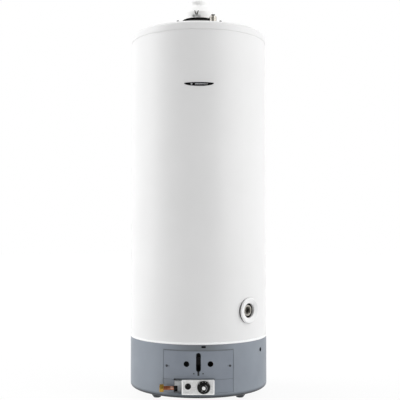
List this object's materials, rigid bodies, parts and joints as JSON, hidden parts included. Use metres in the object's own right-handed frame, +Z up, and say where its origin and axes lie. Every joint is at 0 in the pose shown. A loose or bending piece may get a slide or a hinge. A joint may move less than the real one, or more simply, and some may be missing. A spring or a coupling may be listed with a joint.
{
  "type": "tank water heater",
  "caption": "Floor-standing gas storage water heater: white domed cylinder on a grey skirt, with a draught hood, sight panel, gas valve and piezo igniter.",
  "frame": {"origin": "on the tank axis, at floor level", "axes": "+Z up the tank, -Y out of the control side, +X to the right of a person facing the controls"},
  "size_m": [0.5007, 0.5342, 1.448],
  "materials": {
    "casing_enamel": "gloss",
    "trim_enamel": "gloss",
    "hood_enamel": "gloss",
    "dark_screws": "satin",
    "flue_steel": "matte",
    "flue_black": "matte",
    "sensor_alloy": "satin",
    "terminal_brass_tinned": "satin",
    "nipple_metal": "polished",
    "ivory_plastic": "satin",
    "black_plastic": "satin",
    "pipe_plastic": "satin",
    "magnesium": "matte",
    "tank_steel": "matte",
    "foam": "matte",
    "socket_metal": "satin",
    "white_plastic": "satin",
    "brass": "satin",
    "copper": "satin",
    "skirt_paint": "satin",
    "panel_paint": "satin",
    "zinc_screws": "satin",
    "dark_steel": "matte",
    "galvanised_steel": "satin",
    "foot_paint": "satin",
    "burner_steel": "matte",
    "aluminium_tube": "satin",
    "electrode_ceramic": "satin",
    "lead_sheath": "satin",
    "glass": "gloss",
    "die_casting": "matte",
    "brushed_plate": "satin",
    "knob_plastic": "satin",
    "white_mark": "satin",
    "black_steel": "satin",
    "copper_pipe": "satin",
    "brass_nut": "satin",
    "badge": "gloss"
  },
  "bodies": {
    "appliance": {"casing_jacket": "casing_enamel", "casing_hem_ring": "trim_enamel", "top_cover": "casing_enamel", "top_cover_screws": "dark_screws", "draught_hood": "hood_enamel", "hood_spider": "flue_steel", "flue_collar": "flue_black", "flue_sensor": "sensor_alloy", "flue_sensor_terminals": "terminal_brass_tinned", "hot_outlet_nipple": "nipple_metal", "cold_inlet_nipple": "nipple_metal", "nipple_grommets": "ivory_plastic", "nipple_plugs": "black_plastic", "dip_tube": "pipe_plastic", "magnesium_anode": "magnesium", "tank_shell": "tank_steel", "tank_top_head": "tank_steel", "tank_bottom_head": "tank_steel", "top_head_sockets": "tank_steel", "flue_tube": "tank_steel", "flue_baffle": "flue_steel", "tank_insulation": "foam", "side_boss": "socket_metal", "side_rosette": "white_plastic", "thermowell": "brass", "thermostat_capillary": "copper", "skirt": "skirt_paint", "lower_front_panel": "panel_paint", "base_pan": "galvanised_steel", "feet": "foot_paint", "foot_screws": "zinc_screws", "radiation_shield": "galvanised_steel", "burner": "burner_steel", "burner_mixing_tube": "burner_steel", "injector": "brass", "burner_gas_tube": "aluminium_tube", "pilot_bracket": "burner_steel", "pilot_burner": "burner_steel", "pilot_gas_tube": "aluminium_tube", "thermocouple": "copper", "spark_electrode": "electrode_ceramic", "ignition_lead": "lead_sheath", "inner_door": "galvanised_steel", "sight_glass": "glass", "gas_valve_body": "die_casting", "valve_bracket": "galvanised_steel", "valve_front_plate": "brushed_plate", "igniter_body": "black_plastic", "inlet_gland": "black_steel", "gas_inlet_pipe": "copper_pipe", "badge_plate": "badge"},
    "spindle": {"knob_spindle": "brass"},
    "knob": {"control_knob": "knob_plastic", "knob_cap": "white_mark"},
    "igniter_button": {"igniter_button": "black_plastic"},
    "access_panel": {"access_panel": "panel_paint", "access_panel_screws": "zinc_screws", "slot_guide": "dark_steel", "slot_guide_rivets": "zinc_screws"},
    "gas_nut": {"gas_union_nut": "brass_nut"}
  },
  "joints": [
    {"name": "knob_turn", "type": "hinge", "parent": "appliance", "child": "spindle", "pos_m": [0.0178, -0.2635, 0.0722], "axis": [0, -1, 0], "range_deg": [0, 280]},
    {"name": "knob_push", "type": "slide", "parent": "spindle", "child": "knob", "axis": [0, 1, 0], "range_m": [0, 0.004], "stiffness_N_per_m": 800},
    {"name": "igniter_press", "type": "slide", "parent": "appliance", "child": "igniter_button", "axis": [0, 1, 0], "range_m": [0, 0.006], "stiffness_N_per_m": 1200},
    {"name": "access_panel_pull", "type": "slide", "parent": "appliance", "child": "access_panel", "axis": [0, -1, 0], "range_m": [0, 0.12]},
    {"name": "gas_nut_spin", "type": "hinge", "parent": "appliance", "child": "gas_nut", "pos_m": [-0.131, -0.245, 0.066], "axis": [-1, 0, 0], "continuous": true}
  ]
}
